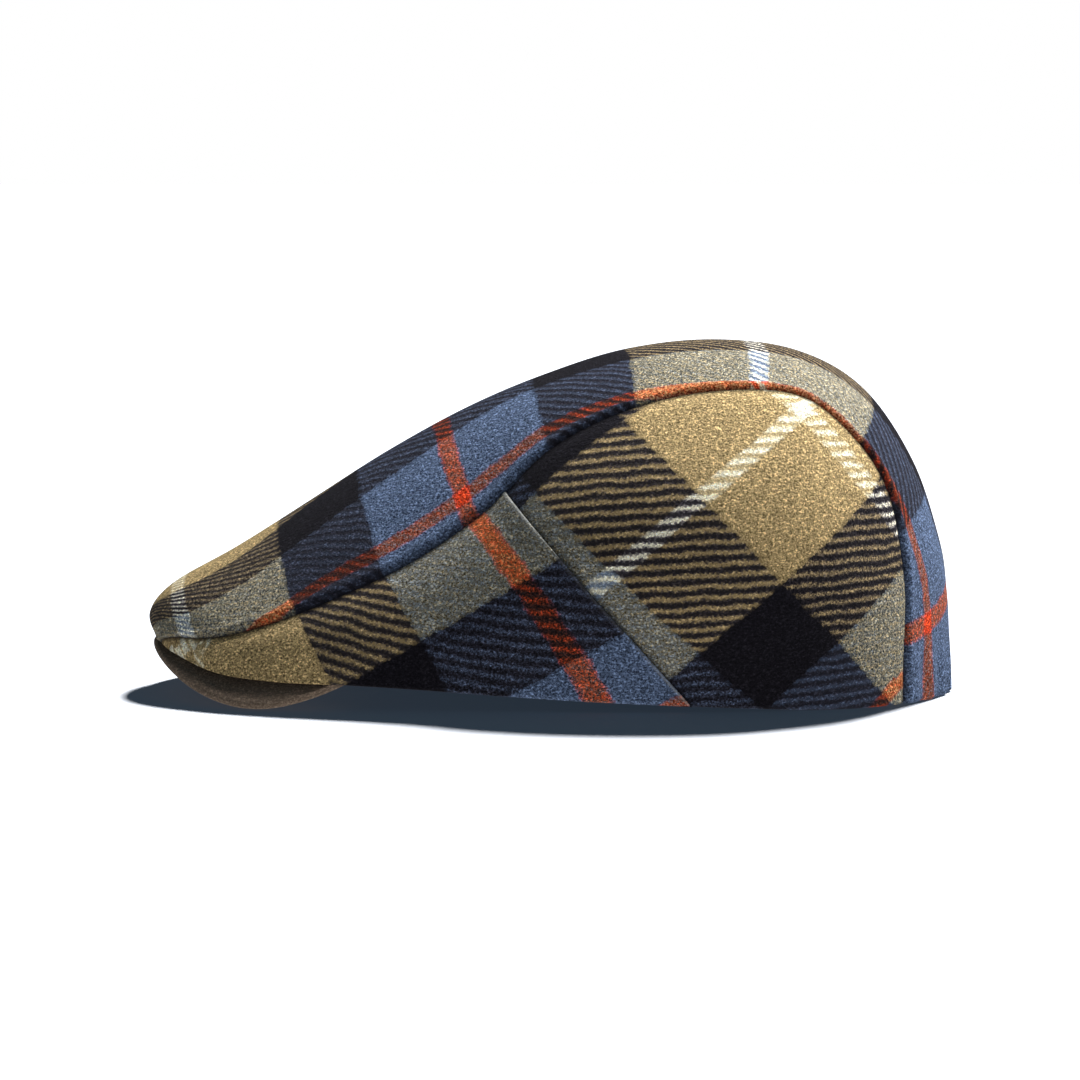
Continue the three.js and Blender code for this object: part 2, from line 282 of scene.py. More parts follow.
def vector(x, y, z):
    """Arrays of three coordinates as one array of vectors."""
    return np.stack(np.broadcast_arrays(x, y, z), -1)


def length(v):
    """Lengths of the vectors in an array."""
    return np.linalg.norm(v, axis=-1)


def unit(v):
    """Each vector over its length."""
    return v / np.maximum(length(v), 1e-9)[..., None]


def mirror(v):
    """The other side of the cap: y changes sign."""
    return v * np.array([1, -1, 1])


def top_point(t, across):
    """Top panel: each section is an arc from the near seam at across -1, over the ridge at 0, to the far
    seam at 1; x and z go from ridge to seam with one minus the cosine, y with the sine."""
    angle = across * TOP_ARC
    fall = (1 - np.cos(angle)) / (1 - math.cos(TOP_ARC))
    return vector(
        lerp(spline(TOP["ridge_x"], t), spline(TOP["seam_x"], t), fall),
        spline(TOP["half_width"], t) * np.sin(angle) / math.sin(TOP_ARC),
        lerp(spline(TOP["ridge_z"], t), spline(TOP["seam_z"], t), fall),
    )


def side_point(t, rise):
    """Near side: straight from the lower edge at rise 0 to the seam at rise 1, swollen by a parabola over
    a power of the rise."""
    skewed = np.sign(rise) * np.abs(rise) ** PUFF_SKEW
    puff = 4 * skewed * (1 - skewed) * spline(SIDE["puff"], t)
    return vector(
        lerp(spline(SIDE["x"], t), spline(TOP["seam_x"], t), rise),
        -lerp(spline(SIDE["half_width"], t), spline(TOP["half_width"], t), rise) - puff,
        lerp(np.maximum(spline(SIDE["z"], t), 0), spline(TOP["seam_z"], t), rise),
    )


def normal_of(surface, last, a, b):
    """Outward unit normal, from the slopes along both parameters."""
    a = np.clip(a, TINY, last - TINY)
    return unit(np.cross(surface(a + TINY, b) - surface(a - TINY, b),
                         surface(a, b + TINY) - surface(a, b - TINY)))


def top_normal(t, across):
    return normal_of(top_point, BACK_HEM, t, across)


def side_normal(t, rise):
    return normal_of(side_point, REAR_CORNER, t, rise)


def seam_directions(t):
    """At the near seam: outwards, midway between the normals of both panels, and square to that and to
    the seam, the direction along the cloth to the top panel's middle. Behind the rear corner, the side
    panel's edge is its rear one."""
    near_edge = -np.ones_like(t)
    rise = spline(TOP["seam_z"], t) / TOP["seam_z"][REAR_CORNER]
    upper = side_normal(np.minimum(t, REAR_CORNER), np.ones_like(t))
    rear = side_normal(np.full_like(t, REAR_CORNER), rise)
    out = unit(top_normal(t, near_edge) + np.where((t < REAR_CORNER)[..., None], upper, rear))
    forward = top_point(t + TINY, near_edge) - top_point(t - TINY, near_edge)
    return out, unit(np.cross(out, forward))


def levelled(normal, share):
    """The foot of the hem is level, so the wall there is offset sideways only."""
    return unit(normal * vector(1, 1, 1 - share))


def rounded(distance, radius):
    """How far a face has curved inwards near an edge that is rounded with this radius."""
    share = 1 - np.clip(distance / radius, 0, 1)
    return radius * (1 - np.sqrt(np.maximum(1 - share ** 2, 0)))


def rippled(points, wavelength, seed):
    """Slow, even unevenness between -1 and 1: the mean of five plane waves in seeded directions, each of
    about the given wavelength."""
    random = np.random.default_rng(seed)
    waves = 5
    total = 0
    for _ in range(waves):
        direction = unit(random.normal(size=3)) * random.uniform(0.7, 1.4) * 2 * math.pi / wavelength
        total = total + np.sin(points @ direction + random.uniform(0, 2 * math.pi))
    return total / waves


# -------------------------------- cloth laid out flat

def laid_flat(points, start, rounds=5000):
    """Lays a grid of points out flat: every link to a neighbour, along both sides and both diagonals of
    the grid's cells, is pulled towards its true length, again and again, from a rough start."""
    rows, cols = points.shape[:2]
    index = np.arange(rows * cols).reshape(rows, cols)
    pairs = ((index[:-1], index[1:]), (index[:, :-1], index[:, 1:]),
             (index[:-1, :-1], index[1:, 1:]), (index[1:, :-1], index[:-1, 1:]))
    a, b = (np.concatenate([pair[k].ravel() for pair in pairs]) for k in (0, 1))
    true_length = length(points.reshape(-1, 3)[a] - points.reshape(-1, 3)[b])
    flat = start.reshape(-1, 2).astype(float)
    links = np.bincount(a, minlength=len(flat)) + np.bincount(b, minlength=len(flat))
    ease = 0.7  # share of its error by which a link is pulled in each round
    for _ in range(rounds):
        link = flat[b] - flat[a]
        span = length(link) + 1e-9
        pull = link * (ease * (span - true_length) / span)[:, None]
        for k in (0, 1):
            moved = np.bincount(a, pull[:, k], len(flat)) - np.bincount(b, pull[:, k], len(flat))
            flat[:, k] += moved / links
    return flat.reshape(rows, cols, 2)


def counted(flat, system):
    """Thread count over flat cloth, from the GRAIN row of one system of threads: along is the distance
    square to the threads and aside the distance beside it, in decimetres. The count is the start, plus
    density times along, plus the stretch, fan and bow that steaming over the block gives."""
    turn = math.radians(GRAIN["angle"][system])
    along = (flat[..., 0] * math.cos(turn) + flat[..., 1] * math.sin(turn)) / 100
    aside = (flat[..., 1] * math.cos(turn) - flat[..., 0] * math.sin(turn)) / 100
    straight = GRAIN["start"][system] + GRAIN["density"][system] * along
    bends = along * (GRAIN["stretch"][system] * along + GRAIN["fan"][system] * aside)
    return straight + bends + GRAIN["bow"][system] * aside ** 2


def softened(t, most):
    """How far brushing has softened the twill: most at the nose, and not at all past the sixth section."""
    return most * smooth((SOFT_END - t) / SOFT_REACH)


# -------------------------------- meshes

def wall_mesh(name, outer, inner, attributes, far=False):
    """A closed wall between an outer and an inner grid of points, joined round all four edges.
    attributes holds a vector for each grid point, the same on both faces. The inner face uses the
    second material slot."""
    rows, cols = outer.shape[:2]
    index = np.arange(rows * cols).reshape(rows, cols)
    under = index + rows * cols

    def quads(a, b, c, d):
        return np.stack([a, b, c, d], -1).reshape(-1, 4)

    shown = quads(index[:-1, :-1], index[1:, :-1], index[1:, 1:], index[:-1, 1:])
    hidden = quads(under[:-1, :-1], under[:-1, 1:], under[1:, 1:], under[1:, :-1])
    rims = np.concatenate([
        quads(index[:-1, 0], under[:-1, 0], under[1:, 0], index[1:, 0]),
        quads(index[:-1, -1], index[1:, -1], under[1:, -1], under[:-1, -1]),
        quads(index[0, :-1], index[0, 1:], under[0, 1:], under[0, :-1]),
        quads(index[-1, :-1], under[-1, :-1], under[-1, 1:], index[-1, 1:]),
    ])
    faces = np.concatenate([shown, rims, hidden])
    points = np.concatenate([outer.reshape(-1, 3), inner.reshape(-1, 3)]) * METRES
    if far:
        points = mirror(points)
        faces = faces[:, ::-1]
    mesh = bpy.data.meshes.new(name)
    mesh.vertices.add(len(points))
    mesh.vertices.foreach_set("co", points.ravel())
    mesh.loops.add(faces.size)
    mesh.loops.foreach_set("vertex_index", faces.ravel())
    mesh.polygons.add(len(faces))
    mesh.polygons.foreach_set("loop_start", np.arange(0, faces.size, 4))
    on_inside = np.arange(len(faces)) >= len(faces) - len(hidden)
    mesh.polygons.foreach_set("material_index", on_inside.astype(int))
    mesh.update(calc_edges=True)
    mesh.polygons.foreach_set("use_smooth", np.ones(len(faces), bool))
    for label, values in attributes.items():
        both = np.concatenate([values.reshape(-1, 3)] * 2)
        mesh.attributes.new(label, "FLOAT_VECTOR", "POINT").data.foreach_set("vector", both.ravel())
    mesh.validate()
    piece = bpy.data.objects.new(name, mesh)
    bpy.context.scene.collection.objects.link(piece)
    return piece


def finished(piece, node, materials):
    """Puts a piece on the cap's only body, in place of its plain solid."""
    for material in materials:
        piece.data.materials.append(material)
    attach(piece, "root")
    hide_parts(node)


# -------------------------------- the top panel

def lengthwise_pitch(sections, across, beside):
    """Distance between lengthwise threads on the top panel: the one beside the stripe on the near half,
    which settles to an even one over the far half, times the changes on the nose."""
    pitch = lerp(beside, STRIPE_EVEN_PITCH, smooth(across))
    share, section, section_reach, place, place_reach = NOSE_CLOSER
    inside = smooth((across - place) / place_reach)
    pitch = pitch * (1 - share * inside * smooth((section - sections) / section_reach))
    share, section, section_reach, place, place_reach = NOSE_WIDER
    beyond = smooth((across - place) / place_reach)
    return pitch * (1 + share * bell(sections - section, section_reach) * beyond)


def top_threads(t, across):
    """Thread counts on the top panel, on a coarse grid and then by splines at every t and across.
    Lengthwise threads are counted from the orange stripe beside the near seam, by distance along the
    section over the local pitch. Crosswise threads are counted along the laid-out cloth."""
    grid_t, grid_across = np.meshgrid(
        np.linspace(0, BACK_HEM, TOP_ROWS), np.linspace(-1, 1, TOP_COLUMNS), indexing="ij")
    points = top_point(grid_t, grid_across)
    edge = np.zeros((TOP_ROWS, 1))
    along_ridge = np.concatenate([[0], np.cumsum(length(np.diff(points[:, RIDGE], axis=0)))])
    from_seam = np.concatenate([edge, np.cumsum(length(np.diff(points, axis=1)), axis=1)], 1)
    from_ridge = from_seam - from_seam[:, RIDGE:RIDGE + 1]
    start = np.stack([np.broadcast_to(along_ridge[:, None], from_ridge.shape), from_ridge], -1)
    crosswise = counted(laid_flat(points, start), TOP_CROSS)
    nearby = grid_t[:, :1] + np.linspace(-STRIPE_EASE, STRIPE_EASE, 5)
    stripe, beside = (np.interp(nearby, STRIPE["section"], STRIPE[name]).mean(1, keepdims=True)
                      for name in ("from_seam", "pitch"))
    pitch = lengthwise_pitch(grid_t, grid_across, beside)
    step_counts = np.diff(from_seam, axis=1) / (0.5 * (pitch[:, 1:] + pitch[:, :-1]))
    past_seam = np.concatenate([edge, np.cumsum(step_counts, axis=1)], 1)
    lengthwise = HALF_REPEAT + past_seam - lerp(stripe, STRIPE_EVEN, smooth(grid_across)) / beside
    counts = np.stack([crosswise, -lengthwise], -1)
    by_rows = spline(counts, t / BACK_HEM * (TOP_ROWS - 1))
    return spline(by_rows, (across + 1) * RIDGE, axis=1)


def top_panel(materials):
    """The long panel from nose to back hem. Its edges roll over beside the seams and turn in, and the
    cloth is gathered a little above the back hem. The outer face is the plain surface plus the lift
    along the normal, and the inner face lies a wall's thickness below it."""
    rows, columns_across = TOP_MESH
    t, across = np.linspace(0, BACK_HEM, rows), 2 * crowded(columns_across) - 1
    threads = top_threads(t, across)
    t, across = np.meshgrid(t, across, indexing="ij")
    plain = top_point(t, across)
    chord = length(top_point(t, np.zeros_like(t)) - top_point(t, np.ones_like(t)))
    to_seam = chord * (TOP_ARC / 2 / math.sin(TOP_ARC / 2)) * (1 - np.abs(across))

    seam_out, inward = seam_directions(t)
    far = (across > 0)[..., None]
    seam_out = np.where(far, mirror(seam_out), seam_out)
    inward = np.where(far, mirror(inward), inward)
    normal = unit(lerp(top_normal(t, across), seam_out, bell(to_seam, ROLL_AT)[..., None]))
    out = levelled(normal, smooth(1 - (BACK_HEM - t) / FOOT_SECTIONS))

    pucker = 1 + PUCKER * rippled(plain, PUCKER_LENGTH, seed=3)
    lift = ROLL * bell(to_seam - ROLL_AT, ROLL_REACH) * pucker - TURN_IN * bell(to_seam, TURN_REACH)
    lift = lift + TOP_EASE * rippled(plain, TOP_EASE_LENGTH, seed=4) * smooth(to_seam / TOP_EASE_FADE)
    wander = GATHER_WANDER * rippled(plain, GATHER_LENGTH, seed=5)
    gather = GATHER * np.cos(across * GATHER_WAVES * math.pi + wander)
    low = smooth((GATHER_TOP - plain[..., 2]) / GATHER_RISE) * (t > GATHER_SECTION)
    lift = lift + gather * low * smooth(to_seam / GATHER_FADE)

    hem = rounded((BACK_HEM - t) * HEM_STEP, HEM_ROUND) + rounded(t * FRONT_STEP, HEM_ROUND)
    edge = plain + inward * (GAP * bell(to_seam, GAP))[..., None]
    outer = edge + out * (lift - hem)[..., None]
    inner = edge + out * (np.minimum(lift, INNER_LIFT) - WALL + hem)[..., None]
    # Painted shade in the groove beside the seams, as the x of this vector.
    painted_shade_and_highlight = vector(bell(to_seam, TOP_GROOVE_SHADE), 0, 0)
    counts = vector(threads[..., 0], threads[..., 1], softened(t, TOP_SOFT))
    piece = wall_mesh("cap_top", outer, inner, {"threads": counts, "painted_shade_and_highlight": painted_shade_and_highlight})
    finished(piece, "top_panel", materials)


# -------------------------------- the side panels

def side_wall_point(t, rise, lift):
    """A point of a side panel, lifted off the plain surface, with the seams' edges turned in, and its
    distance from the nearer seam, the upper or the rear one."""
    point = side_point(t, rise)
    to_upper = length(point - side_point(t, np.ones_like(t)))
    to_rear = length(point - side_point(np.full_like(t, REAR_CORNER), rise))
    rear_t = np.linspace(REAR_CORNER, BACK_HEM, 60)
    rear_t = np.interp(-point[..., 2], -spline(TOP["seam_z"], rear_t), rear_t)  # found by its height
    seam_out, _ = seam_directions(np.where(to_upper < to_rear, t, rear_t))
    to_seam = np.minimum(to_upper, to_rear)
    normal = unit(lerp(side_normal(t, rise), seam_out, bell(to_seam, ROLL_AT)[..., None]))
    turn_in = SIDE_TURN_IN * bell(to_seam, SIDE_TURN_REACH)
    ease = SIDE_EASE * rippled(point, SIDE_EASE_LENGTH, seed=8) * smooth(to_seam / SIDE_EASE_FADE)
    ease = ease * smooth(rise * SIDE_EASE_PARTS)
    out = levelled(normal, smooth(1 - rise / FOOT_RISE))
    return point + out * (lift - turn_in + ease)[..., None], to_seam


def lap_at(rise):
    """The section at which the folded edge crosses the side, at each share of its height. Seen from the
    side the edge is a straight line, and the section is found by halving the range it lies in."""
    slope = (LAP_BOTTOM[0] - LAP_TOP[0]) / (LAP_TOP[1] - LAP_BOTTOM[1])
    low, high = np.full(rise.shape, SIDE_START), np.full(rise.shape, REAR_CORNER - 1.0)
    halvings = 30
    for _ in range(halvings):
        middle = (low + high) / 2
        point = side_point(middle, rise)
        before = point[..., 0] - LAP_TOP[0] - slope * (LAP_TOP[1] - point[..., 2]) < 0
        low, high = np.where(before, middle, low), np.where(before, high, middle)
    return (low + high) / 2


def side_threads(shares, rises, sections_at, crosswise, lengthwise):
    """Thread counts on a side panel, laid out flat from its outline as seen from the side: on a coarse
    grid, and then by splines at the given shares of its length and height."""
    share, rise = np.meshgrid(np.linspace(0, 1, SIDE_ROWS), np.linspace(0, 1, SIDE_COLUMNS), indexing="ij")
    points = side_point(sections_at(share, rise), rise)
    flat = laid_flat(points, points[..., [0, 2]])
    counts = np.stack([counted(flat, crosswise), counted(flat, lengthwise)], -1)
    by_rows = spline(counts, shares * (SIDE_ROWS - 1))
    return spline(by_rows, rises * (SIDE_COLUMNS - 1), axis=1)


def side_pair(part, outer, inner, threads, soft, painted_shade_and_highlight, materials):
    """The near and the far panel of a pair. The far one is the near one's mirror image, but its
    lengthwise threads are counted the other way."""
    for side, sign in (("near", 1), ("far", -1)):
        counts = vector(threads[..., 0], sign * threads[..., 1], soft)
        attributes = {"threads": counts, "painted_shade_and_highlight": painted_shade_and_highlight}
        piece = wall_mesh(f"cap_{part}_{side}", outer, inner, attributes, far=side == "far")
        finished(piece, f"{part}_{side}", materials)


def side_front(materials):
    """The front side panels: each ends in a folded edge that lies over the rear panel."""
    def sections_at(share, rise):
        """From the nose at share 0 to the fold at share 1."""
        return lerp(SIDE_START, lap_at(rise), share)

    shares, rises = (crowded(count) for count in FRONT_MESH)
    threads = side_threads(shares, rises, sections_at, FRONT_CROSS, FRONT_LONG)
    share, rise = np.meshgrid(shares, rises, indexing="ij")
    fold = lap_at(rise)
    t = sections_at(share, rise)
    to_fold = length(side_point(t, rise) - side_point(fold, rise))
    level = smooth(to_fold / LAP_REACH)
    thickness = lerp(LAP_THINNEST, WALL, level)
    curl = rounded(to_fold, LAP_THINNEST / 2)
    hem = rounded(rise * FRONT_HEIGHT, HEM_ROUND)
    lift = LAP_RISE * (1 - level)
    outer, to_seam = side_wall_point(t, rise, lift - curl - hem)
    inner, _ = side_wall_point(t, rise, lift - thickness + curl + hem)
    # Painted highlight along the fold's crest, and painted shade in the groove beside the seams.
    upper = CREST_TOP * smooth((rise - CREST_TOP_FROM) / CREST_FADE)
    lower = CREST_FOOT * smooth((CREST_FOOT_FROM - rise) / CREST_FADE)
    crest = bell(to_fold - CREST_AT, CREST_REACH) * (CREST_ALONG + upper + lower)
    painted_shade_and_highlight = vector(bell(to_seam, SIDE_GROOVE_SHADE), crest, 0)
    soft = softened(t, SIDE_SOFT)
    side_pair("side_front", outer, inner, threads, soft, painted_shade_and_highlight, materials)


def side_rear(materials):
    """The rear side panels, which run on under the fold and are pressed in there. The thread counts are
    worked out from the fold to the rear corner, and run on in a straight line under the fold."""
    def sections_at(share, rise):
        """From the fold at share 0 to the rear corner at share 1."""
        return lerp(lap_at(rise), REAR_CORNER, share)

    shares, rises = (crowded(count) for count in REAR_MESH)
    rise = np.broadcast_to(rises, (len(shares), len(rises)))
    fold = lap_at(rise)
    fold_point = side_point(fold, rise)
    start = fold - LAP_UNDER / length(fold_point - side_point(fold + 1, rise))
    t = lerp(start, REAR_CORNER, shares[:, None])

    base = side_threads(np.linspace(0, 1, REAR_STEPS), rises, sections_at, REAR_CROSS, REAR_LONG)
    place = (t - fold) / (REAR_CORNER - fold) * (REAR_STEPS - 1)
    step = np.clip(np.floor(place).astype(int), 0, REAR_STEPS - 2)
    column = np.broadcast_to(np.arange(len(rises)), t.shape)
    threads = lerp(base[step, column], base[step + 1, column], (place - step)[..., None])

    from_fold = np.sign(t - fold) * length(side_point(t, rise) - fold_point)
    beside = -LAP_DIP * smooth(1 - from_fold / LAP_REACH)
    lift = np.where(from_fold > 0, beside, LAP_SLANT * from_fold - LAP_DIP)
    hem = rounded(rise * REAR_HEIGHT, HEM_ROUND)
    outer, to_seam = side_wall_point(t, rise, lift - hem)
    inner, _ = side_wall_point(t, rise, lift - WALL + hem)
    # Painted shade in the groove beside the seams and beside the fold that lies over this panel.
    groove = np.maximum(bell(to_seam, SIDE_GROOVE_SHADE), LAP_FOLD_SHADE * bell(from_fold, LAP_GROOVE))
    side_pair("side_rear", outer, inner, threads, 0, vector(groove, 0, 0), materials)


# -------------------------------- the peak

def peak_point(share, depth):
    """Underside of the peak: from the rim ellipse at depth 0 to the inner one at depth 1, on an arch."""
    (rim_x, rim_y), (inner_x, inner_y) = (
        (centre - reach * np.cos(share * sweep), half_width * np.sin(share * sweep))
        for centre, reach, half_width, sweep in (PEAK_RIM, PEAK_INNER))
    x, y = lerp(rim_x, inner_x, depth), lerp(rim_y, inner_y, depth)
    ridge = PEAK_HEIGHT + PEAK_CLIMB * (x - PEAK_HEIGHT_X)
    droop = PEAK_DROOP * np.maximum(x - PEAK_RIM[0], 0) ** 2
    return vector(x, y, ridge - y ** 2 / (2 * PEAK_ARCH) - droop)


def within_camel(distance):
    """Thread counts that run to and fro inside the plain camel stripe, as the arc sine of a sine does."""
    turn = distance / CAMEL_PITCH * math.pi / (2 * CAMEL_HALF)
    return CAMEL_MIDDLE + CAMEL_HALF * (2 / math.pi) * np.arcsin(np.sin(turn))


def peak(materials):
    """The peak: its cloth cover is rolled round the rim of the board. Both faces lie along the underside's
    upward normal, and meet in half a circle at the edges."""
    rows, depths = PEAK_MESH
    share, depth = np.meshgrid(np.linspace(-1, 1, rows), crowded(depths, PEAK_CROWDING), indexing="ij")
    point = peak_point(share, depth)
    up = -unit(np.cross(peak_point(share + TINY, depth) - peak_point(share - TINY, depth),
                        peak_point(share, depth + TINY) - peak_point(share, depth - TINY)))
    to_rim = np.minimum(length(point - peak_point(share, np.zeros_like(depth))),
                        length(point - peak_point(share, np.ones_like(depth))))
    to_corner = (1 - np.abs(share)) * PEAK_HALF_RIM
    roll = rounded(np.minimum(to_rim, to_corner), PEAK_THICKNESS / 2)
    under = point + up * roll[..., None]
    over = point + up * (PEAK_THICKNESS - roll)[..., None]
    counts = vector(within_camel(point[..., 0]), within_camel(point[..., 1]), 0)
    piece = wall_mesh("cap_peak", under, over, {"threads": counts, "painted_shade_and_highlight": np.zeros_like(point)})
    finished(piece, "peak", materials)


# -------------------------------- shader groups

def new_group(name, inputs, outputs):
    """A shader node group with named inputs and outputs; each entry is name and socket type."""
    group = bpy.data.node_groups.new(name, "ShaderNodeTree")
    for direction, sockets in (("INPUT", inputs), ("OUTPUT", outputs)):
        for socket, kind in sockets:
            group.interface.new_socket(socket, in_out=direction, socket_type="NodeSocket" + kind)
    return group


class Nodes:
    """Short calls for adding nodes to a tree. A number or colour sets a socket, a socket links it."""

    def __init__(self, tree):
        self.tree = tree
        tree.nodes.clear()

    def add(self, kind, values=None, **settings):
        """A node of this kind, with values for some of its sockets and settings for its properties."""
        node = self.tree.nodes.new(kind)
        for name, value in settings.items():
            setattr(node, name, value)
        for socket, value in (values or {}).items():
            self.set(node.inputs[socket], value)
        return node

    def set(self, socket, value):
        """Links a socket to the input, or gives the input a value."""
        if isinstance(value, bpy.types.NodeSocket):
            self.tree.links.new(value, socket)
        else:
            socket.default_value = value

    def math(self, operation, *values):
        """One step of arithmetic."""
        return self.add("ShaderNodeMath", dict(enumerate(values)), operation=operation).outputs[0]

    def remap(self, value, low, high, to_low=0.0, to_high=1.0, smoothly=False):
        """From to_low where the value is low to to_high where it is high, and level outside."""
        kind = "SMOOTHSTEP" if smoothly else "LINEAR"
        node = self.add("ShaderNodeMapRange", interpolation_type=kind)
        for k, part in enumerate((value, low, high, to_low, to_high)):
            self.set(node.inputs[k], part)
        return node.outputs[0]

    def mix(self, share, a, b, blend="MIX"):
        """Colours a and b, mixed by a share of b."""
        node = self.add("ShaderNodeMix", data_type="RGBA", blend_type=blend)
        for k, part in ((0, share), (6, a), (7, b)):
            self.set(node.inputs[k], part)
        return node.outputs[2]

    def noise(self, place, scale, detail=2.0, roughness=0.5):
        """Soft noise between 0 and 1, with the scale in waves for each metre."""
        values = {"Vector": place, "Scale": scale, "Detail": detail, "Roughness": roughness}
        return self.add("ShaderNodeTexNoise", values).outputs[0]


def display_colour(red, green, blue):
    """Scene-linear colour, with full alpha, from display values between 11 and 255, by the usual curve
    of display colours."""
    return tuple(((value / 255 + 0.055) / 1.055) ** 2.4 for value in (red, green, blue)) + (1.0,)


WHITE = (1.0, 1.0, 1.0, 1.0)
YARN = {
    "white": display_colour(255, 248, 222),
    "camel": display_colour(174, 150, 106),
    "black": display_colour(22, 20, 26),
    "blue": display_colour(86, 101, 128),
    "orange": display_colour(219, 70, 34),
}
# Half a repeat of the tartan, from the middle of the white line to the middle of the orange one: each
# yarn's first thread. Where two yarns cross, the sum of their crispness says how sharp their floats stay,
# and the one of greater strength shows more where they are brushed together.
SETT_YARNS = ("white", "camel", "black", "blue", "orange")
SETT = columns(
    "first crisp strength",
    (0, 1.1, 0.55),
    (2.3, 0.4, 0.2),
    (32, 0.8, -0.1),
    (58, 0.1, 0.0),
    (81.6, 0.1, 0.05),
)
EDGE_BLUR = 0.5  # threads to either side over which one colour brushes into the next

# Waves of noise in a metre. Then, in threads, how far a yarn wanders, how far its edge frays, and how far
# counts are drawn in towards whole threads.
DRIFT_WAVES, FRAY_WAVES, SPECKLE_WAVES, HAIR_WAVES = 110.0, 900.0, 1500.0, 1200.0
DRIFT, FRAY, DRAWN_IN = 1.6, 1.3, 0.15
SOFT_LEAN, SHARP_LEAN = 0.42, 0.2  # share that a yarn gains by its strength, on soft and on sharp cloth
HAIR_GRAIN, HAIR_LIGHT = 1.7, 0.006  # how strongly hairs brighten the colour, and the light they add

# Share and colour of the painted shade in a groove and of the painted highlight on a crest.
GROOVE_SHADE_SHARE, GROOVE_SHADE_COLOUR = 0.75, (0.01, 0.009, 0.012, 1)
CREST_HIGHLIGHT_SHARE, CREST_HIGHLIGHT_COLOUR = 0.55, (0.42, 0.42, 0.40, 1)


def sett_group():
    """Colour, crispness and strength of a thread from its number. The repeat is mirrored about its white
    and orange lines."""
    group = new_group("Tartan sett", [("Count", "Float")],
                      [("Color", "Color"), ("Crisp", "Float"), ("Strength", "Float")])
    n = Nodes(group)
    given, result = n.add("NodeGroupInput"), n.add("NodeGroupOutput")
    place = n.math("DIVIDE", n.math("PINGPONG", given.outputs["Count"], HALF_REPEAT), HALF_REPEAT)

    def stripes(stop_colour):
        """A ramp over half a repeat, with two stops at each change of yarn."""
        ramp = n.add("ShaderNodeValToRGB", {"Fac": place})
        stops = ramp.color_ramp.elements
        stops[0].color = stop_colour(0)
        stops.remove(stops[1])
        for k, first in list(enumerate(SETT["first"]))[1:]:
            for side in (-1, 1):
                stop = stops.new((first + side * EDGE_BLUR) / HALF_REPEAT)
                stop.color = stop_colour(k if side > 0 else k - 1)
        return ramp

    colour = stripes(lambda k: YARN[SETT_YARNS[k]][:3] + (SETT["crisp"][k],))
    strength = stripes(lambda k: (SETT["strength"][k],) * 3 + (1.0,))
    n.set(result.inputs["Color"], colour.outputs["Color"])
    n.set(result.inputs["Crisp"], colour.outputs["Alpha"])
    n.set(result.inputs["Strength"], strength.outputs["Color"])
    return group


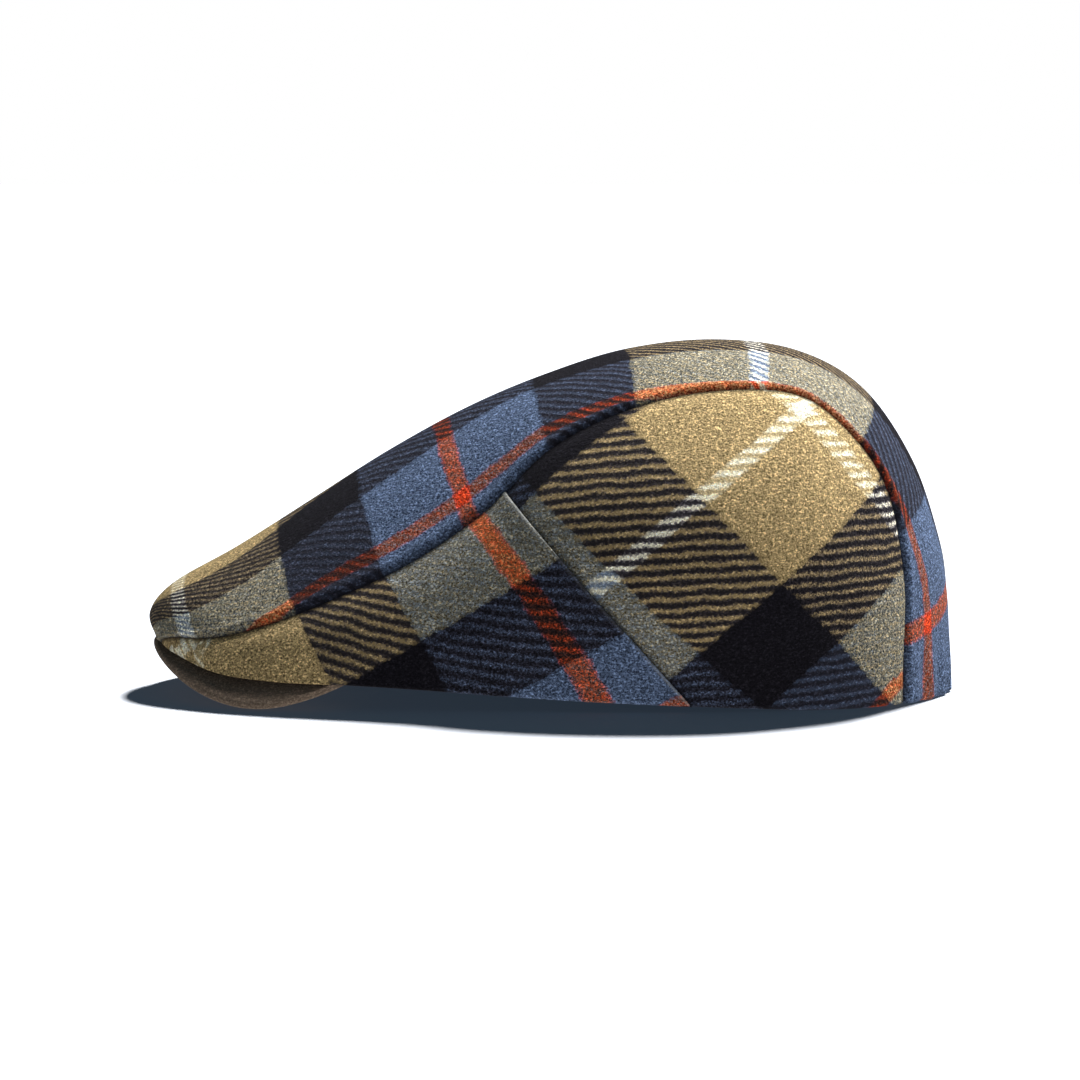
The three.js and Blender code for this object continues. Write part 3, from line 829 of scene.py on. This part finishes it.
def tartan_group(sett):
    """Cloth in 2/2 twill from its thread counts. In Threads, x is the count of the crosswise threads and y
    that of the lengthwise ones, and z says how far brushing has softened the twill. The crosswise thread
    lies on top for half of every four threads, along lines where the two counts differ by a constant.
    The fibres of both threads overlap, so colours mix as dyes do, each to the power of its share. Crisp
    yarns show the twill's lines, and soft ones only a mottle. Nap sets how hairy the surface is."""
    inputs = [("Threads", "Vector"), ("Place", "Vector"), ("Nap", "Float")]
    group = new_group("Brushed tartan twill", inputs, [("Color", "Color"), ("Height", "Float")])
    n = Nodes(group)
    given, result = n.add("NodeGroupInput"), n.add("NodeGroupOutput")
    place, nap = given.outputs["Place"], given.outputs["Nap"]
    counts = n.add("ShaderNodeSeparateXYZ", {0: given.outputs["Threads"]})

    def wandering(count, offset):
        """The count with the yarn's slow drift and its frayed edge, both in threads, drawn in towards
        whole threads. The offset keeps the two systems' noise apart."""
        shifted = n.add("ShaderNodeVectorMath", {0: place, 1: (offset, 0, 0)}).outputs[0]
        fray = n.math("MULTIPLY", n.math("SUBTRACT", n.noise(shifted, FRAY_WAVES, 1.0), 0.5), nap)
        drift = n.math("SUBTRACT", n.noise(shifted, DRIFT_WAVES, 1.0), 0.5)
        drifted = n.math("MULTIPLY_ADD", drift, DRIFT, count)
        loose = n.math("MULTIPLY_ADD", fray, FRAY, drifted)
        step = n.math("SINE", n.math("MULTIPLY", loose, 2 * math.pi))
        return n.math("MULTIPLY_ADD", step, -DRAWN_IN, loose)

    a, b = wandering(counts.outputs[0], 0.0), wandering(counts.outputs[1], 7.0)
    over = n.add("ShaderNodeGroup", {"Count": a}, node_tree=sett)
    under = n.add("ShaderNodeGroup", {"Count": b}, node_tree=sett)
    wave = n.math("PINGPONG", n.math("SUBTRACT", a, b), 2.0)  # 0 to 2 and back over four threads
    line = n.remap(wave, low=0.35, high=1.65, smoothly=True)  # 1 where the crosswise thread is on top
    speckle = n.remap(n.noise(place, SPECKLE_WAVES, detail=2.5, roughness=0.8), low=0.37, high=0.63)
    crisp = n.math("ADD", over.outputs["Crisp"], under.outputs["Crisp"])
    crisp = n.remap(n.math("SUBTRACT", crisp, counts.outputs[2]), low=0.55, high=1.2)
    lean = n.math("SUBTRACT", over.outputs["Strength"], under.outputs["Strength"])

    # Share of the crosswise colour where the cloth is brushed soft, and where the twill stays sharp.
    mottle = n.math("MULTIPLY_ADD", lean, SOFT_LEAN, n.remap(speckle, 0, 1, to_low=0.22, to_high=0.78))
    mottle = n.math("ADD", mottle, n.remap(line, 0, 1, to_low=-0.06, to_high=0.06))
    sharp = n.math("MULTIPLY_ADD", lean, SHARP_LEAN, n.remap(line, 0, 1, to_low=0.05, to_high=0.79))
    sharp = n.math("ADD", sharp, n.remap(speckle, 0, 1, to_low=-0.16, to_high=0.16))
    share = n.add("ShaderNodeMix", {0: crisp, 2: mottle, 3: sharp}, data_type="FLOAT").outputs[0]
    share = n.add("ShaderNodeClamp", {0: share}).outputs[0]
    rest = n.math("SUBTRACT", 1.0, share)
    above = n.add("ShaderNodeGamma", {"Color": over.outputs["Color"], "Gamma": share}).outputs[0]
    below = n.add("ShaderNodeGamma", {"Color": under.outputs["Color"], "Gamma": rest}).outputs[0]
    colour = n.mix(1.0, above, below, blend="MULTIPLY")

    # Single hairs stand pale over darker speckles, more so on soft cloth.
    combed = n.add("ShaderNodeVectorMath", {0: place, 1: (0.8, 0.8, 1.2)}, operation="MULTIPLY").outputs[0]
    hair = n.remap(n.noise(combed, HAIR_WAVES, detail=2.0, roughness=0.7), low=0.52, high=0.7)
    speckled = n.remap(speckle, 0, 1, to_low=-0.7, to_high=0.28)
    grain = n.math("MULTIPLY_ADD", hair, HAIR_GRAIN, speckled)
    loose_nap = n.math("MULTIPLY", nap, n.remap(crisp, 0, 1, to_low=1.3, to_high=0.8))
    grain = n.math("MULTIPLY_ADD", grain, loose_nap, 1.0)
    shade = n.add("ShaderNodeVectorMath", {0: colour, "Scale": grain}, operation="SCALE").outputs[0]
    hair_light = n.math("MULTIPLY", hair, HAIR_LIGHT)
    shade = n.add("ShaderNodeVectorMath", {0: shade, 1: hair_light}).outputs[0]

    # Each thread is round, the twill's lines stand up as ribs, and the nap roughens both.
    thread_a, thread_b = n.math("PINGPONG", a, 0.5), n.math("PINGPONG", b, 0.5)
    relief = n.add("ShaderNodeMix", {0: line, 2: thread_b, 3: thread_a}, data_type="FLOAT").outputs[0]
    rib = n.math("MULTIPLY", n.math("PINGPONG", wave, 1.0), 0.4)
    height = n.math("ADD", n.math("MULTIPLY_ADD", relief, 0.5, rib), speckle)
    n.set(result.inputs["Color"], shade)
    n.set(result.inputs["Height"], height)
    return group


def painted_shading_group():
    """Paints shade into the groove beside a seam, by the x of the vector given, and a highlight on the
    crest of a fold, where the nap catches light, by its y."""
    inputs = [("Color", "Color"), ("Painted shade and highlight", "Vector")]
    group = new_group("Painted seam shade and fold highlight", inputs, [("Color", "Color")])
    n = Nodes(group)
    given, result = n.add("NodeGroupInput"), n.add("NodeGroupOutput")
    parts = n.add("ShaderNodeSeparateXYZ", {0: given.outputs["Painted shade and highlight"]})
    # The groove's share darkens the colour as painted shade, and the crest's share pales it as a painted
    # highlight.
    groove_shade = n.math("MULTIPLY", parts.outputs[0], GROOVE_SHADE_SHARE)
    crest_highlight = n.math("MULTIPLY", parts.outputs[1], CREST_HIGHLIGHT_SHARE)
    dark = n.mix(groove_shade, given.outputs["Color"], GROOVE_SHADE_COLOUR)
    pale = n.mix(crest_highlight, dark, CREST_HIGHLIGHT_COLOUR)
    n.set(result.inputs["Color"], pale)
    return group


def wool_material(name, tartan, edges, painted_shade_tint, nap):
    """Brushed wool: the tartan's colour with painted shade and highlights at seams and folds, times a
    colour that darkens it as painted shade where it is below white, and relief, with the faint sheen of its
    nap.
    """
    material = bpy.data.materials.new(name)
    material.use_nodes = True
    n = Nodes(material.node_tree)
    place = n.add("ShaderNodeTexCoord").outputs["Object"]
    threads = n.add("ShaderNodeAttribute", attribute_name="threads").outputs["Vector"]
    painted_shade_and_highlight = n.add("ShaderNodeAttribute", attribute_name="painted_shade_and_highlight").outputs["Vector"]
    cloth = n.add("ShaderNodeGroup", {"Threads": threads, "Place": place, "Nap": nap}, node_tree=tartan)
    with_painted_shading = n.add("ShaderNodeGroup", {"Color": cloth.outputs["Color"], "Painted shade and highlight": painted_shade_and_highlight}, node_tree=edges)
    # The multiplied colour paints shade where it is below white; on the main wool it is white and changes
    # nothing.
    colour = n.mix(1.0, with_painted_shading.outputs["Color"], painted_shade_tint, blend="MULTIPLY")
    bump = n.add("ShaderNodeBump", {"Strength": 0.7, "Distance": 0.0006, "Height": cloth.outputs["Height"]})
    shader = n.add("ShaderNodeBsdfPrincipled", {
        "Base Color": colour, "Normal": bump.outputs[0], "Roughness": 0.95, "Specular IOR Level": 0.05,
        "Sheen Weight": 0.02, "Sheen Roughness": 0.4})
    n.add("ShaderNodeOutputMaterial", {"Surface": shader.outputs[0]})
    return material


def backing_material():
    """The dark fused backing inside the cap: a fine plain weave."""
    material = bpy.data.materials.new("fused backing")
    material.use_nodes = True
    n = Nodes(material.node_tree)
    place = n.add("ShaderNodeTexCoord").outputs["Object"]
    weave = n.add("ShaderNodeTexChecker", {"Vector": place, "Scale": 1400.0}).outputs["Fac"]
    patch = n.math("MULTIPLY", n.noise(place, scale=60.0, detail=3.0), 0.5)
    pale = n.math("MULTIPLY_ADD", weave, 0.35, patch)
    colour = n.mix(pale, display_colour(22, 23, 29), display_colour(50, 52, 60))
    bump = n.add("ShaderNodeBump", {"Strength": 0.4, "Distance": 0.0002, "Height": weave})
    shader = n.add("ShaderNodeBsdfPrincipled", {
        "Base Color": colour, "Normal": bump.outputs[0], "Roughness": 0.85, "Specular IOR Level": 0.2})
    n.add("ShaderNodeOutputMaterial", {"Surface": shader.outputs[0]})
    return material


# -------------------------------- floor and light

LIGHT_AIM = np.array([0.02, 0.0, 0.06])  # the middle of the cap
FLOOR_GLOW = 0.97  # how brightly the floor shines back on the cap
SKY_TINT, SKY_LIGHT = (0.5, 0.78, 1.0, 1.0), 0.124  # the surroundings, as they light the cap and the shadow


def make_floor():
    """A plain pale floor, wide enough to reach the horizon. Its shadow is for the camera. To the cap it
    glows evenly, as a wide bright floor does."""
    reach = 30.0
    corners = [(-reach, -reach, 0), (reach, -reach, 0), (reach, reach, 0), (-reach, reach, 0)]
    mesh = bpy.data.meshes.new("floor")
    mesh.from_pydata(corners, [], [(0, 1, 2, 3)])
    floor = bpy.data.objects.new("floor", mesh)
    bpy.context.scene.collection.objects.link(floor)
    material = bpy.data.materials.new("pale floor")
    material.use_nodes = True
    n = Nodes(material.node_tree)
    shader = n.add("ShaderNodeBsdfPrincipled", {
        "Base Color": (0.12, 0.125, 0.135, 1), "Roughness": 0.9, "Specular IOR Level": 0.1,
        "Emission Color": (0.018, 0.027, 0.040, 1), "Emission Strength": 1.0})
    glow = n.add("ShaderNodeEmission", {"Color": WHITE, "Strength": FLOOR_GLOW})
    seen = n.add("ShaderNodeLightPath").outputs["Is Camera Ray"]
    both = n.add("ShaderNodeMixShader", {0: seen, 1: glow.outputs[0], 2: shader.outputs[0]})
    n.add("ShaderNodeOutputMaterial", {"Surface": both.outputs[0]})
    mesh.materials.append(material)
    floor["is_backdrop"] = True
    return floor


def placed_light(data, azimuth, elevation, lit):
    """Puts a light in the scene, turned to shine on the cap. Azimuth 0 is the camera's side and 90 the
    cap's back, both angles in degrees. It lights only the objects of one collection."""
    light = bpy.data.objects.new(data.name, data)
    light.rotation_euler = (math.pi / 2 - math.radians(elevation), 0, math.radians(azimuth))
    light.light_linking.receiver_collection = lit
    bpy.context.scene.collection.objects.link(light)
    return light


def far_lamp(name, azimuth, elevation, spread, strength, lit):
    """A soft lamp so far off that its light is even. Spread is how wide it looks, in degrees."""
    data = bpy.data.lights.new(name, "SUN")
    data.energy = strength * math.pi
    data.angle = math.radians(spread)
    placed_light(data, azimuth, elevation, lit)


def near_lamp(name, azimuth, elevation, distance, width, strength, lit):
    """A square softbox at a distance in metres from the cap's middle."""
    data = bpy.data.lights.new(name, "AREA")
    data.size = width
    data.energy = strength * (math.pi * distance) ** 2
    light = placed_light(data, azimuth, elevation, lit)
    tilt, _, turn = light.rotation_euler
    away = (math.sin(turn) * math.sin(tilt), -math.cos(turn) * math.sin(tilt), math.cos(tilt))
    light.location = LIGHT_AIM + distance * np.array(away)
    light.visible_camera = False


def make_light(floor):
    """Soft studio light. Three lamps light the cap alone: a near softbox high at its back, a far one
    higher still on the side away from the camera, and a low one at its back. A fourth, beyond the cap,
    lights the floor alone and gives it its shadow. The surroundings are dim and bluish, but the camera
    sees them white."""
    on_cap, on_floor = bpy.data.collections.new("lit cap"), bpy.data.collections.new("lit floor")
    on_floor.objects.link(floor)
    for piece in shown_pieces():
        on_cap.objects.link(piece)
    near_lamp("side softbox", azimuth=97, elevation=59, distance=0.7, width=0.3, strength=2.08, lit=on_cap)
    far_lamp("top softbox", azimuth=165, elevation=65, spread=20, strength=0.62, lit=on_cap)
    far_lamp("low softbox", azimuth=80, elevation=11, spread=30, strength=0.28, lit=on_cap)
    far_lamp("floor lamp", azimuth=160, elevation=48, spread=8, strength=14.3, lit=on_floor)
    world = bpy.data.worlds.new("studio")
    bpy.context.scene.world = world
    world.use_nodes = True
    n = Nodes(world.node_tree)
    seen = n.add("ShaderNodeLightPath").outputs["Is Camera Ray"]
    colour, strength = n.mix(seen, SKY_TINT, WHITE), n.remap(seen, 0, 1, SKY_LIGHT, 1.0)
    sky = n.add("ShaderNodeBackground", {"Color": colour, "Strength": strength})
    n.add("ShaderNodeOutputWorld", {"Surface": sky.outputs[0]})
    bpy.context.scene.view_settings.view_transform = "Standard"


# -------------------------------- everything together

make_camera()
tartan, edges, backing = tartan_group(sett_group()), painted_shading_group(), backing_material()
wool = wool_material("brushed tartan wool", tartan, edges, painted_shade_tint=WHITE, nap=1.0)
# The peak's cloth is darkened and greyed by its tint: painted shade for the shadow under the cap's
# overhanging front.
peak_wool_in_shade = wool_material("peak tartan wool in painted shade", tartan, edges, painted_shade_tint=(0.43, 0.44, 0.68, 1), nap=0.5)
top_panel([wool, backing])
side_front([wool, backing])
side_rear([wool, backing])
peak([peak_wool_in_shade, peak_wool_in_shade])
make_light(make_floor())
